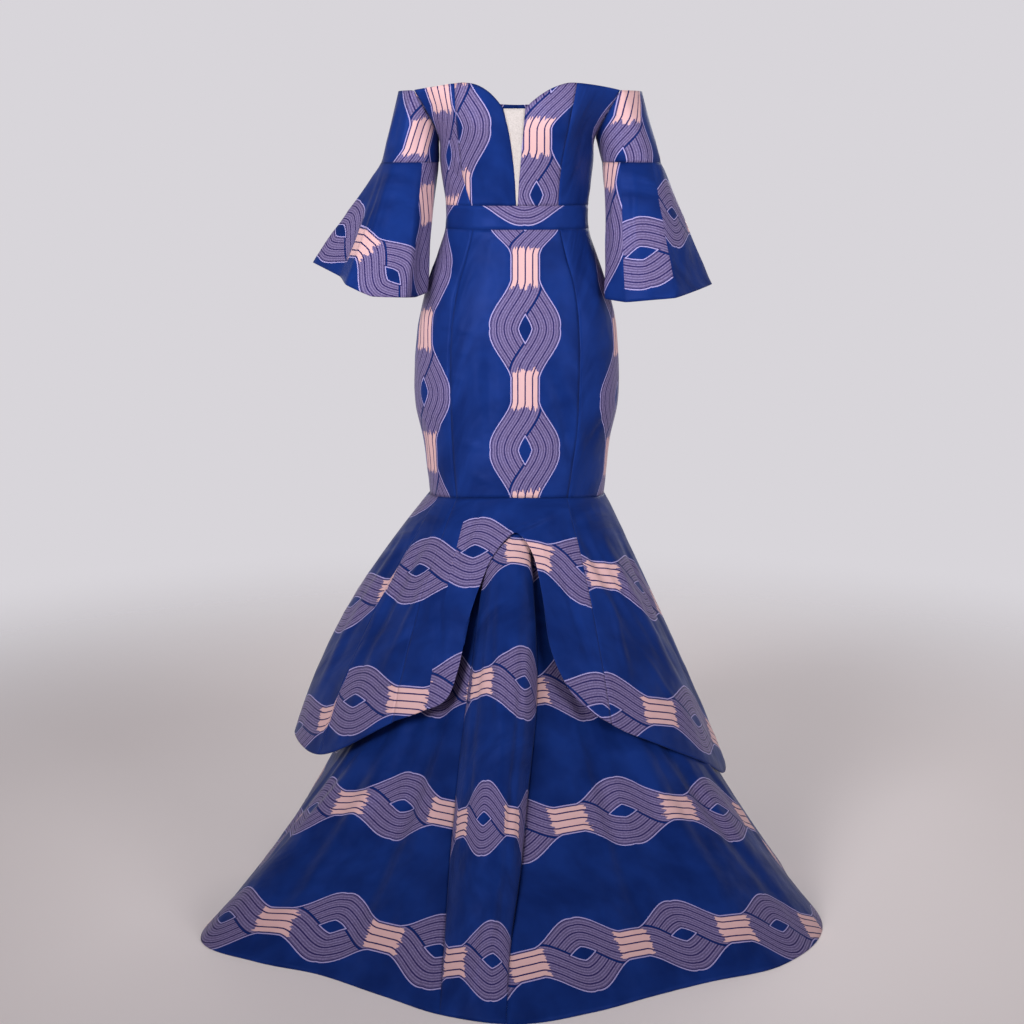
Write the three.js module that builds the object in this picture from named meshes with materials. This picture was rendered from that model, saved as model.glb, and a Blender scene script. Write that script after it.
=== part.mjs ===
// Off-the-shoulder mermaid maxi dress: fitted bodice and sheath, elbow-length bell sleeves and a
// two-tier trumpet skirt. Every panel is a thin cloth wall, and all of them share one set of sections.
// Millimetres, +Z up, the dress faces -Y. The origin is the middle of the waistband. Heights in the
// tables are measured up from the floor, and angles run from centre front towards the wearer's left.
import * as THREE from 'three';

// ---- driving dimensions ----
const WAIST_HEIGHT = 1111; // middle of the waistband above the floor
const WALL = 1.5; // cloth wall
const SEAM_GAP = 0.3; // clearance between neighbouring pieces
const LAP_GAP = 0.8; // clearance of the lower tier's top edge inside the upper tier's
const ARMHOLE_GAP = 1.0; // clearance of the sleeve round the curved armhole
const BAND_BOTTOM = 1092; // waistband
const BAND_TOP = 1130;
const KNEE = 651; // seam between the sheath and the tiers, at the sides and back
const KNEE_RISE = 13; // how much higher that seam lies at centre front
const UNDERARM = 1237;
const SHOULDER_LINE = 1311; // top edge where the sleeves cross the arms
const BELL_SEAM = 1198; // seam between the upper sleeve and its bell
const PLUNGE_TOP = 1281; // straight top edge of the mesh in the plunge

// Body sections: half width, and the depth of the front and of the back from the axis.
const TORSO = [
  { height: 640, half: 146, front: 132, back: 127 },
  { height: 700, half: 152, front: 127, back: 130 },
  { height: 745, half: 157, front: 121, back: 130 },
  { height: 795, half: 168, front: 117, back: 130 },
  { height: 835, half: 171, front: 115, back: 131 },
  { height: 890, half: 169, front: 111, back: 131 },
  { height: 940, half: 163, front: 106, back: 122 },
  { height: 1000, half: 149, front: 98, back: 103 },
  { height: 1050, half: 130, front: 91, back: 92 },
  { height: 1092, half: 118, front: 88, back: 87 },
  { height: 1130, half: 117, front: 89, back: 86 },
  { height: 1165, half: 121, front: 96, back: 91 },
  { height: 1200, half: 125, front: 104, back: 98 },
  { height: 1237, half: 127, front: 110, back: 103 },
  { height: 1260, half: 144, front: 111, back: 104 },
  { height: 1285, half: 172, front: 109, back: 102 },
  { height: 1311, half: 200, front: 106, back: 99 },
  { height: 1325, half: 208, front: 104, back: 97 },
];
// Cups cut into the princess seams.
const CUP = { height: 1258, x: 76, rise: 19, halfHeight: 85, halfWidth: 66 };
// Princess seams from neckline to knee, on the wearer's right (negative x) and left.
const PRINCESS = [
  { height: 640, right: -98, left: 80 },
  { height: 740, right: -106, left: 95 },
  { height: 830, right: -109, left: 101 },
  { height: 930, right: -107, left: 101 },
  { height: 1000, right: -96, left: 93 },
  { height: 1050, right: -82, left: 79 },
  { height: 1110, right: -71, left: 67 },
  { height: 1180, right: -88, left: 69 },
  { height: 1255, right: -96, left: 82 },
  { height: 1325, right: -99, left: 95 },
];
// Edges of the deep narrow plunge: the right one curves, the left one is nearly straight.
const PLUNGE = [
  { height: 1130, right: -1.6, left: 0.9 },
  { height: 1165, right: -3.4, left: 2.6 },
  { height: 1200, right: -6.6, left: 5.6 },
  { height: 1240, right: -12.5, left: 9.0 },
  { height: 1281, right: -22, left: 12.5 },
];
// Sweetheart neckline, from the armhole on the wearer's right to the one on the left.
const NECKLINE = [
  { x: -164, height: 1311 },
  { x: -125, height: 1316 },
  { x: -100, height: 1320 },
  { x: -80, height: 1321 },
  { x: -61, height: 1317 },
  { x: -43, height: 1306 },
  { x: -28, height: 1290 },
  { x: -22, height: 1281 },
  { x: 12.5, height: 1281 },
  { x: 20, height: 1289 },
  { x: 43, height: 1306 },
  { x: 63, height: 1316 },
  { x: 83, height: 1321 },
  { x: 113, height: 1319 },
  { x: 164, height: 1311 },
];
const NECK_BACK = 1293; // top edge at centre back
// Armhole seam: angle round the body section, 90 being the side.
const ARMHOLE = [
  { height: 1237, angle: 90 },
  { height: 1245, angle: 80 },
  { height: 1260, angle: 70 },
  { height: 1285, angle: 60 },
  { height: 1311, angle: 55 },
  { height: 1325, angle: 53 },
];
// Bell seam rings of the two sleeves; fit is how closely the top edge lies over the arm.
const SLEEVE_RING = {
  right: { x: -175, halfWidth: 47, halfDepth: 54, fit: 0.953 },
  left: { x: 187, halfWidth: 48, halfDepth: 54, fit: 1.01 },
};
// Bell hems: one row for each fold's crest or trough, going outer side, front, inner side, back.
// ring is where the fold starts on the bell seam.
const BELL_HEM = {
  right: [
    { ring: 0, x: 337, y: -5, height: 1036 },
    { ring: 22, x: 288, y: -55, height: 1016 },
    { ring: 42, x: 274, y: -108, height: 1006 },
    { ring: 75, x: 232, y: -125, height: 989 },
    { ring: 110, x: 176, y: -112, height: 986 },
    { ring: 130, x: 164, y: -76, height: 984 },
    { ring: 152, x: 146, y: -50, height: 990 },
    { ring: 182, x: 158, y: 8, height: 994 },
    { ring: 215, x: 158, y: 70, height: 1000 },
    { ring: 255, x: 205, y: 112, height: 1006 },
    { ring: 280, x: 240, y: 92, height: 1010 },
    { ring: 305, x: 280, y: 102, height: 1018 },
    { ring: 335, x: 322, y: 55, height: 1030 },
  ],
  left: [
    { ring: 0, x: 322, y: -12, height: 1001 },
    { ring: 25, x: 296, y: -50, height: 994 },
    { ring: 50, x: 256, y: -101, height: 985 },
    { ring: 80, x: 214, y: -112, height: 982 },
    { ring: 114, x: 173, y: -103, height: 978 },
    { ring: 145, x: 142, y: -66, height: 981 },
    { ring: 175, x: 160, y: 5, height: 989 },
    { ring: 210, x: 162, y: 68, height: 990 },
    { ring: 245, x: 200, y: 110, height: 992 },
    { ring: 275, x: 238, y: 92, height: 994 },
    { ring: 300, x: 272, y: 98, height: 997 },
    { ring: 335, x: 310, y: 50, height: 1000 },
  ],
};
// Lower tier's hem on the floor, a row for each wave; sag is how far the cloth hangs inside the
// straight line from knee to hem.
const LOWER_HEM = [
  { angle: -180, radius: 436, sag: -0.5 },
  { angle: -158, radius: 452, sag: -0.5 },
  { angle: -138, radius: 424, sag: -0.5 },
  { angle: -118, radius: 440, sag: -0.5 },
  { angle: -98, radius: 430, sag: -0.5 },
  { angle: -80, radius: 460, sag: -0.75 },
  { angle: -66, radius: 520, sag: -0.85 },
  { angle: -54, radius: 612, sag: -0.85 },
  { angle: -43, radius: 590, sag: -0.78 },
  { angle: -32, radius: 563, sag: -0.65 },
  { angle: -20, radius: 582, sag: -0.5 },
  { angle: -10, radius: 618, sag: -0.55 },
  { angle: 0, radius: 636, sag: -0.6 },
  { angle: 10, radius: 610, sag: -0.65 },
  { angle: 20, radius: 583, sag: -0.7 },
  { angle: 30, radius: 578, sag: -0.72 },
  { angle: 42, radius: 600, sag: -0.75 },
  { angle: 57, radius: 579, sag: -0.72 },
  { angle: 74, radius: 486, sag: -0.6 },
  { angle: 92, radius: 452, sag: -0.5 },
  { angle: 112, radius: 428, sag: -0.5 },
  { angle: 132, radius: 448, sag: -0.5 },
  { angle: 156, radius: 426, sag: -0.5 },
  { angle: 180, radius: 436, sag: -0.5 },
];
// Seams on each side of the rounded fold that falls down the centre front of the lower tier.
const FOLD_SEAMS = [
  { height: 0, right: -10.5, left: -1.5 },
  { height: 80, right: -11.8, left: -1 },
  { height: 165, right: -13.4, left: 0.8 },
  { height: 262, right: -15, left: 3 },
  { height: 380, right: -16.5, left: 7 },
  { height: 480, right: -17.5, left: 8.6 },
  { height: 570, right: -18.6, left: 8.8 },
  { height: 665, right: -20, left: 9 },
];
const FOLD_STARTS = { none: 640, full: 540 }; // heights over which the fold fills out
// Upper tier: radius and height of its hem, and how far it springs out above the straight line.
// Inside the front opening the rows only carry the surface on.
const UPPER_HEM = [
  { angle: -180, radius: 350, height: 168, spring: 0.1 },
  { angle: -152, radius: 364, height: 172, spring: 0.12 },
  { angle: -128, radius: 354, height: 182, spring: 0.2 },
  { angle: -106, radius: 366, height: 205, spring: 0.4 },
  { angle: -86, radius: 384, height: 236, spring: 0.5 },
  { angle: -64, radius: 362, height: 238, spring: 0.35 },
  { angle: -37, radius: 322, height: 327, spring: 0.15 },
  { angle: -20, radius: 300, height: 377, spring: 0 },
  { angle: -5, radius: 296, height: 388, spring: 0 },
  { angle: 11, radius: 288, height: 388, spring: -0.06 },
  { angle: 20, radius: 292, height: 366, spring: -0.04 },
  { angle: 30, radius: 312, height: 322, spring: 0 },
  { angle: 43, radius: 328, height: 284, spring: 0.05 },
  { angle: 60, radius: 352, height: 232, spring: 0.1 },
  { angle: 76, radius: 362, height: 182, spring: 0.11 },
  { angle: 92, radius: 360, height: 178, spring: 0.1 },
  { angle: 112, radius: 350, height: 172, spring: 0.1 },
  { angle: 134, radius: 366, height: 168, spring: 0.1 },
  { angle: 158, radius: 348, height: 166, spring: 0.1 },
  { angle: 180, radius: 350, height: 168, spring: 0.1 },
];
// Lower edge of the upper tier's centre panel: hem, up one side of the opening, over its apex and
// down the other side. share is the place along the panel's top edge.
const OPENING = [
  { share: 0, angle: -38, height: 325 },
  { share: 0.11, angle: -29, height: 348 },
  { share: 0.22, angle: -21.5, height: 372 },
  { share: 0.3, angle: -19.5, height: 420 },
  { share: 0.38, angle: -18.5, height: 500 },
  { share: 0.47, angle: -13, height: 574 },
  { share: 0.58, angle: -1, height: 612 },
  { share: 0.67, angle: 8, height: 582 },
  { share: 0.74, angle: 11, height: 520 },
  { share: 0.81, angle: 12, height: 445 },
  { share: 0.88, angle: 17, height: 382 },
  { share: 0.94, angle: 23, height: 348 },
  { share: 1, angle: 29, height: 326 },
];

// ---- curves through the tables ----
const RAD = Math.PI / 180;
const lerp = (a, b, f) => a + (b - a) * f;
const clamp01 = (f) => Math.min(1, Math.max(0, f));
const smooth = (f) => clamp01(f) ** 2 * (3 - 2 * clamp01(f));

// Smooth value of one column at x, with finite-difference slopes, flat beyond the ends.
function column(rows, by, name, x) {
  const last = rows.length - 1;
  if (x <= rows[0][by]) return rows[0][name];
  if (x >= rows[last][by]) return rows[last][name];
  const i = rows.findIndex((row, k) => k < last && x < rows[k + 1][by]);
  const slope = (k) => {
    const a = rows[Math.max(0, k - 1)];
    const b = rows[Math.min(last, k + 1)];
    return (b[name] - a[name]) / (b[by] - a[by]);
  };
  const span = rows[i + 1][by] - rows[i][by];
  const f = (x - rows[i][by]) / span;
  const g = 1 - f;
  return (
    rows[i][name] * g * g * (1 + 2 * f) +
    rows[i + 1][name] * f * f * (1 + 2 * g) +
    slope(i) * span * f * g * g -
    slope(i + 1) * span * f * f * g
  );
}

// A closed table carried on at both ends, so that its curve joins itself without a corner.
function closedRows(rows, by, turn) {
  const shifted = (row, angle) => ({ ...row, [by]: row[by] + angle });
  return [shifted(rows[rows.length - 1], -turn), ...rows, shifted(rows[0], turn), shifted(rows[1], turn)];
}

// ---- surfaces ----
// Point of the body section at a height and an angle from centre front.
function torsoPoint(height, angle) {
  const half = column(TORSO, 'height', 'half', height);
  const depth = column(TORSO, 'height', Math.cos(angle) > 0 ? 'front' : 'back', height);
  const x = half * Math.sin(angle);
  let y = -depth * Math.cos(angle);
  if (y < 0) {
    const across = (Math.abs(x) - CUP.x) / CUP.halfWidth;
    const up = (height - CUP.height) / CUP.halfHeight;
    y -= CUP.rise * smooth(1 - Math.abs(across)) * smooth(1 - Math.abs(up));
  }
  return new THREE.Vector3(x, y, height - WAIST_HEIGHT);
}

const torsoAngle = (height, x) => Math.asin(x / column(TORSO, 'height', 'half', height));
const princessAngle = (height, side) => torsoAngle(height, column(PRINCESS, 'height', side, height));
const armholeAngle = (height) => column(ARMHOLE, 'height', 'angle', height) * RAD;
const neckline = (x) => column(NECKLINE, 'x', 'height', x);
const kneeHeight = (angle) => KNEE + KNEE_RISE * Math.max(0, Math.cos(angle)) ** 2;

// Knee seam in a direction: its distance from the axis, and its height, raised at the front.
function kneeSeam(angle) {
  const half = column(TORSO, 'height', 'half', KNEE);
  const depth = column(TORSO, 'height', Math.cos(angle) > 0 ? 'front' : 'back', KNEE);
  const across = Math.sin(angle) / half;
  const along = Math.cos(angle) / depth;
  const radius = 1 / Math.hypot(across, along);
  return { radius, height: kneeHeight(Math.atan2(across, along)) };
}

const flare = (f, bend) => f + bend * f * (1 - f);
const onCircle = (angle, radius, height) =>
  new THREE.Vector3(radius * Math.sin(angle), -radius * Math.cos(angle), height - WAIST_HEIGHT);

function lowerTierPoint(height, angle) {
  const degrees = angle / RAD;
  const knee = kneeSeam(angle);
  const hem = column(LOWER_HEM, 'angle', 'radius', degrees);
  const sag = column(LOWER_HEM, 'angle', 'sag', degrees);
  const right = column(FOLD_SEAMS, 'height', 'right', height);
  const left = column(FOLD_SEAMS, 'height', 'left', height);
  const across = (degrees - (left + right) / 2) / ((left - right) / 2);
  const fullness = smooth((FOLD_STARTS.none - height) / (FOLD_STARTS.none - FOLD_STARTS.full));
  const fold = fullness * Math.max(0, 1 - across * across) ** 0.7;
  const down = 1 - height / knee.height;
  const reach = lerp(flare(down, sag), down, fold);
  return onCircle(angle, lerp(knee.radius - WALL - LAP_GAP, hem, reach), height);
}

function upperTierPoint(height, angle) {
  const degrees = angle / RAD;
  const hem = column(UPPER_HEM, 'angle', 'height', degrees);
  const radius = column(UPPER_HEM, 'angle', 'radius', degrees);
  const spring = column(UPPER_HEM, 'angle', 'spring', degrees);
  const knee = kneeSeam(angle);
  const down = (knee.height - height) / (knee.height - hem);
  return onCircle(angle, lerp(knee.radius, radius, flare(down, spring)), height);
}

// ---- walls ----
// A wall panel on surface(u, v), v upwards, u from the wearer's right round the front to the left.
// Each edge is drawn in by half the seam gap; a closed panel joins itself in u.
function wallPanel(surface, columns, rows, closed = false) {
  const inset = (point) => {
    let length = 0;
    for (let k = 1; k <= 8; k += 1) length += point(k / 8).distanceTo(point((k - 1) / 8));
    return SEAM_GAP / 2 / length;
  };
  const place = (i, j) => {
    const v = j / rows;
    const u = i / columns;
    const atEdgeU = closed ? 0 : inset((f) => surface(f, v));
    const atEdgeV = inset((f) => surface(u, f));
    return [lerp(atEdgeU, 1 - atEdgeU, u), lerp(atEdgeV, 1 - atEdgeV, v)];
  };
  const step = 1e-3;
  const normal = (u, v) => {
    const wrap = (f) => (closed ? f : clamp01(f));
    const du = surface(wrap(u + step), v).sub(surface(wrap(u - step), v));
    const dv = surface(u, clamp01(v + step)).sub(surface(u, clamp01(v - step)));
    return du.cross(dv).normalize();
  };
  const across = closed ? columns : columns + 1;
  const positions = [];
  for (const depth of [0, WALL]) {
    for (let j = 0; j <= rows; j += 1) {
      for (let i = 0; i < across; i += 1) {
        const [u, v] = place(i, j);
        positions.push(...surface(u, v).addScaledVector(normal(u, v), -depth).toArray());
      }
    }
  }
  const skin = across * (rows + 1);
  const at = (i, j, inner) => inner * skin + j * across + (i % across);
  const faces = [];
  const quad = (a, b, c, d) => faces.push(a, b, c, a, c, d);
  for (let j = 0; j < rows; j += 1) {
    for (let i = 0; i < columns; i += 1) {
      quad(at(i, j, 0), at(i + 1, j, 0), at(i + 1, j + 1, 0), at(i, j + 1, 0));
      quad(at(i, j, 1), at(i, j + 1, 1), at(i + 1, j + 1, 1), at(i + 1, j, 1));
    }
  }
  for (let i = 0; i < columns; i += 1) {
    quad(at(i, 0, 1), at(i + 1, 0, 1), at(i + 1, 0, 0), at(i, 0, 0));
    quad(at(i, rows, 0), at(i + 1, rows, 0), at(i + 1, rows, 1), at(i, rows, 1));
  }
  for (let j = 0; j < rows && !closed; j += 1) {
    quad(at(0, j, 0), at(0, j + 1, 0), at(0, j + 1, 1), at(0, j, 1));
    quad(at(columns, j, 1), at(columns, j + 1, 1), at(columns, j + 1, 0), at(columns, j, 0));
  }
  const geometry = new THREE.BufferGeometry();
  geometry.setAttribute('position', new THREE.Float32BufferAttribute(positions, 3));
  geometry.setIndex(faces);
  return geometry;
}

// A panel between two seams, from(height) and to(height) being angles, and between two edges.
const between = (point, from, to, bottom, top) => (u, v) => {
  const height = lerp(bottom(u), top(u), v);
  return point(height, lerp(from(height), to(height), u));
};
const level = (height) => () => height;
const turn = (degrees) => () => degrees * RAD;

// ---- pieces ----
const group = new THREE.Group();
const WAXED_COTTON = { color: 0x1f3a80, roughness: 0.55, metalness: 0 };
const POWER_MESH = { color: 0xd9cfcb, roughness: 0.8, metalness: 0 };

function add(name, geometry, finish = WAXED_COTTON) {
  const mesh = new THREE.Mesh(geometry, new THREE.MeshStandardMaterial(finish));
  mesh.name = name;
  group.add(mesh);
}

// Seam angle of the bodice's outer edge: the side below the underarm, the armhole above it.
const bodiceSide = (height) => (height < UNDERARM ? Math.PI / 2 : armholeAngle(height));

function addBodice() {
  const rows = 10;
  const plunge = (side) => (height) => torsoAngle(height, column(PLUNGE, 'height', side, height));
  const princess = (side) => (height) => princessAngle(height, side);
  const topAt = (fromX, toX) => (u) => neckline(lerp(fromX, toX, u));
  const edge = PLUNGE[PLUNGE.length - 1];
  const seam = PRINCESS[PRINCESS.length - 1];
  const armX = NECKLINE[NECKLINE.length - 1].x;
  const front = (from, to, fromX, toX) => between(torsoPoint, from, to, level(BAND_TOP), topAt(fromX, toX));
  const armhole = { right: (height) => -bodiceSide(height), left: bodiceSide };
  add(
    'bodice_front_side_right',
    wallPanel(front(armhole.right, princess('right'), -armX, seam.right), 6, rows),
  );
  add(
    'bodice_front_centre_right',
    wallPanel(front(princess('right'), plunge('right'), seam.right, edge.right), 7, rows),
  );
  const mesh = between(torsoPoint, plunge('right'), plunge('left'), level(BAND_TOP), level(PLUNGE_TOP));
  add('plunge_mesh', wallPanel(mesh, 2, rows), POWER_MESH);
  add(
    'bodice_front_centre_left',
    wallPanel(front(plunge('left'), princess('left'), edge.left, seam.left), 7, rows),
  );
  add(
    'bodice_front_side_left',
    wallPanel(front(princess('left'), armhole.left, seam.left, armX), 6, rows),
  );
  const backEdge = (u) => lerp(SHOULDER_LINE, NECK_BACK, smooth(u));
  const backSeam = (height) => Math.PI - bodiceSide(height);
  const mirroredSeam = (height) => -backSeam(height);
  const mirroredEdge = (u) => backEdge(1 - u);
  const back = (from, to, edgeOf) => between(torsoPoint, from, to, level(BAND_TOP), edgeOf);
  add('bodice_back_left', wallPanel(back(backSeam, turn(180), backEdge), 8, rows));
  add('bodice_back_right', wallPanel(back(turn(-180), mirroredSeam, mirroredEdge), 8, rows));
}

function addWaistband() {
  const edges = [level(BAND_BOTTOM), level(BAND_TOP)];
  const band = (from, to) => between(torsoPoint, turn(from), turn(to), ...edges);
  add('waistband_front', wallPanel(band(-90, 90), 18, 2));
  add('waistband_back_left', wallPanel(band(90, 180), 9, 2));
  add('waistband_back_right', wallPanel(band(-180, -90), 9, 2));
}

function addSheath() {
  const rows = 11;
  const right = (height) => princessAngle(height, 'right');
  const left = (height) => princessAngle(height, 'left');
  const panel = (from, to) => {
    const knee = (u) => kneeHeight(lerp(from(KNEE), to(KNEE), u));
    return between(torsoPoint, from, to, knee, level(BAND_BOTTOM));
  };
  add('sheath_front_side_right', wallPanel(panel(turn(-90), right), 7, rows));
  add('sheath_front_centre', wallPanel(panel(right, left), 10, rows));
  add('sheath_front_side_left', wallPanel(panel(left, turn(90)), 7, rows));
  add('sheath_back_left', wallPanel(panel(turn(90), turn(180)), 11, rows));
  add('sheath_back_right', wallPanel(panel(turn(-180), turn(-90)), 11, rows));
}

// Direction of the princess seam where it meets the knee seam.
function kneeSeamAngle(side) {
  const point = torsoPoint(KNEE, princessAngle(KNEE, side));
  return Math.atan2(point.x, -point.y);
}

// A panel of the upper tier: straight seams between an angle on the knee seam and one on the hem.
function tierPanel(topFrom, topTo, edgeAngle, edgeHeight) {
  return (u, v) => {
    const top = lerp(topFrom, topTo, u);
    const height = lerp(edgeHeight(u), kneeSeam(top).height, v);
    return upperTierPoint(height, lerp(edgeAngle(u), top, v));
  };
}

function addUpperTier() {
  const first = OPENING[0].angle * RAD;
  const last = OPENING[OPENING.length - 1].angle * RAD;
  const side = Math.PI / 2;
  const kneeRight = kneeSeamAngle('right');
  const kneeLeft = kneeSeamAngle('left');
  const opening = tierPanel(
    kneeRight,
    kneeLeft,
    (u) => column(OPENING, 'share', 'angle', u) * RAD,
    (u) => column(OPENING, 'share', 'height', u),
  );
  add('upper_tier_front_centre', wallPanel(opening, 24, 6));
  const plain = (topFrom, topTo, hemFrom, hemTo) => {
    const angle = (u) => lerp(hemFrom, hemTo, u);
    const height = (u) => column(UPPER_HEM, 'angle', 'height', angle(u) / RAD);
    return tierPanel(topFrom, topTo, angle, height);
  };
  add('upper_tier_front_right', wallPanel(plain(-side, kneeRight, -side, first), 9, 6));
  add('upper_tier_front_left', wallPanel(plain(kneeLeft, side, last, side), 10, 6));
  add('upper_tier_back_left', wallPanel(plain(side, Math.PI, side, Math.PI), 12, 6));
  add('upper_tier_back_right', wallPanel(plain(-Math.PI, -side, -Math.PI, -side), 12, 6));
}

function addLowerTier() {
  const rows = 12;
  const right = (height) => column(FOLD_SEAMS, 'height', 'right', height) * RAD;
  const left = (height) => column(FOLD_SEAMS, 'height', 'left', height) * RAD;
  const panel = (from, to) => {
    const knee = (u) => kneeSeam(lerp(from(KNEE), to(KNEE), u)).height;
    return between(lowerTierPoint, from, to, level(0), knee);
  };
  add('lower_tier_front_right', wallPanel(panel(turn(-90), right), 12, rows));
  add('lower_tier_front_centre', wallPanel(panel(right, left), 9, rows));
  add('lower_tier_front_left', wallPanel(panel(left, turn(90)), 12, rows));
  add('lower_tier_back_left', wallPanel(panel(turn(90), turn(180)), 10, rows));
  add('lower_tier_back_right', wallPanel(panel(turn(-180), turn(-90)), 10, rows));
}

// Top loop of a sleeve: along the neckline outside the arm, down the armhole to the underarm and up.
const OVER_ARM = 60; // share of the loop, in degrees on each side, that lies on the neckline
function sleeveTop(around, sign, side) {
  const fromOuter = Math.min(around, 360 - around);
  const fromUnderarm = clamp01((180 - fromOuter) / (180 - OVER_ARM));
  const height = lerp(UNDERARM, SHOULDER_LINE, fromUnderarm ** 1.5);
  const overArm = clamp01(1 - fromOuter / OVER_ARM);
  const angle = lerp(armholeAngle(height), Math.PI / 2, overArm);
  const point = torsoPoint(height, around < 180 ? angle : Math.PI - angle);
  point.x = sign * (point.x * lerp(1, SLEEVE_RING[side].fit, overArm) + ARMHOLE_GAP);
  return point;
}

function bellSeam(around, sign, side) {
  const ring = SLEEVE_RING[side];
  const x = ring.x + sign * ring.halfWidth * Math.cos(around * RAD);
  const y = -ring.halfDepth * Math.sin(around * RAD);
  return new THREE.Vector3(x, y, BELL_SEAM - WAIST_HEIGHT);
}

function bellHem(around, sign, side) {
  const rows = closedRows(BELL_HEM[side], 'ring', 360);
  const read = (name) => column(rows, 'ring', name, around);
  return new THREE.Vector3(sign * read('x'), read('y'), read('height') - WAIST_HEIGHT);
}

function addSleeve(side) {
  const sign = side === 'left' ? 1 : -1;
  // u turns anticlockwise seen from above on both arms, around runs outer side, front, inner side
  const around = (u) => ((sign > 0 ? 1 - u : u) * 360 + 720) % 360;
  const upper = (u, v) => bellSeam(around(u), sign, side).lerp(sleeveTop(around(u), sign, side), v);
  const bell = (u, v) => bellHem(around(u), sign, side).lerp(bellSeam(around(u), sign, side), v);
  add(`sleeve_${side}`, wallPanel(upper, 26, 4, true));
  add(`bell_${side}`, wallPanel(bell, 36, 5, true));
}

addBodice();
addWaistband();
addSheath();
addUpperTier();
addLowerTier();
addSleeve('right');
addSleeve('left');

export default group;
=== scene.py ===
import math

import bmesh
import bpy
import numpy as np
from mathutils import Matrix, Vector, noise


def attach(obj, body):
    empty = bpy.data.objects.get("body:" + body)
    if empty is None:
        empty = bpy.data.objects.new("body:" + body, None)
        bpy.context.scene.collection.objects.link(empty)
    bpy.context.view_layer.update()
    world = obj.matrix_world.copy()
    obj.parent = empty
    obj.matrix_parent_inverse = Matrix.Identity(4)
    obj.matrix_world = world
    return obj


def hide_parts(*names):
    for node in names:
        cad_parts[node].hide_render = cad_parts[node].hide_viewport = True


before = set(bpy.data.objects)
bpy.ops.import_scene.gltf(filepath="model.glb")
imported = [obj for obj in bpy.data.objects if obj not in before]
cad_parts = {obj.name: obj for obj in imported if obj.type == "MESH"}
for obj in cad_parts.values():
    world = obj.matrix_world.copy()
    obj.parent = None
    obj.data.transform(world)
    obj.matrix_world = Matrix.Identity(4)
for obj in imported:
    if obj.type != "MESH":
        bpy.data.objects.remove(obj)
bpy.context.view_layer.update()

# ---- sizes of the cut, as in the part's source ----
WAIST_HEIGHT = 1111
WALL = 1.5
LAP_GAP = 0.8
ARMHOLE_GAP = 1.0
BAND_BOTTOM = 1092
BAND_TOP = 1130
KNEE = 651
KNEE_RISE = 13
UNDERARM = 1237
SHOULDER_LINE = 1311
BELL_SEAM = 1198
PLUNGE_TOP = 1281
NECK_BACK = 1293
OVER_ARM = 60
CUP = {"height": 1258, "x": 76, "rise": 19, "half_height": 85, "half_width": 66}
SLEEVE_RING = {
    "right": {"x": -175, "half_width": 47, "half_depth": 54, "fit": 0.953},
    "left": {"x": 187, "half_width": 48, "half_depth": 54, "fit": 1.01},
}
FOLD_STARTS = {"none": 640, "full": 540}

STITCH = 6.0  # spacing of the sewing grid
CREASE_LIFT = 1.4  # how much fuller a crease stands than its row in a table says
SEAM_DIP = 0.2  # how deep a seam draws the cloth in
CLOTH = 1.4  # thickness of the finished cloth


def table(columns, *rows):
    """The columns of a table by name. The first column is the one that curves are read by."""
    return dict(zip(columns.split(), np.array(rows, float).T))


TORSO = table(
    "height half front back",
    (640, 146, 132, 127), (700, 152, 127, 130), (745, 157, 121, 130), (795, 168, 117, 130),
    (835, 171, 115, 131), (890, 169, 111, 131), (940, 163, 106, 122), (1000, 149, 98, 103),
    (1050, 130, 91, 92), (1092, 118, 88, 87), (1130, 117, 89, 86), (1165, 121, 96, 91),
    (1200, 125, 104, 98), (1237, 127, 110, 103), (1260, 144, 111, 104), (1285, 172, 109, 102),
    (1311, 200, 106, 99), (1325, 208, 104, 97),
)
PRINCESS = table(
    "height right left",
    (640, -98, 80), (740, -106, 95), (830, -109, 101), (930, -107, 101), (1000, -96, 93),
    (1050, -82, 79), (1110, -71, 67), (1180, -88, 69), (1255, -96, 82), (1325, -99, 95),
)
PLUNGE = table(
    "height right left",
    (1130, -1.6, 0.9), (1165, -3.4, 2.6), (1200, -6.6, 5.6), (1240, -12.5, 9.0), (1281, -22, 12.5),
)
NECKLINE = table(
    "x height",
    (-164, 1311), (-125, 1316), (-100, 1320), (-80, 1321), (-61, 1317), (-43, 1306), (-28, 1290),
    (-22, 1281), (12.5, 1281), (20, 1289), (43, 1306), (63, 1316), (83, 1321), (113, 1319),
    (164, 1311),
)
ARMHOLE = table(
    "height angle", (1237, 90), (1245, 80), (1260, 70), (1285, 60), (1311, 55), (1325, 53)
)
BELL_HEM = {
    "right": table(
        "ring x y height",
        (0, 337, -5, 1036), (22, 288, -55, 1016), (42, 274, -108, 1006), (75, 232, -125, 989),
        (110, 176, -112, 986), (130, 164, -76, 984), (152, 146, -50, 990), (182, 158, 8, 994),
        (215, 158, 70, 1000), (255, 205, 112, 1006), (280, 240, 92, 1010), (305, 280, 102, 1018),
        (335, 322, 55, 1030),
    ),
    "left": table(
        "ring x y height",
        (0, 322, -12, 1001), (25, 296, -50, 994), (50, 256, -101, 985), (80, 214, -112, 982),
        (114, 173, -103, 978), (145, 142, -66, 981), (175, 160, 5, 989), (210, 162, 68, 990),
        (245, 200, 110, 992), (275, 238, 92, 994), (300, 272, 98, 997), (335, 310, 50, 1000),
    ),
}
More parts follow.
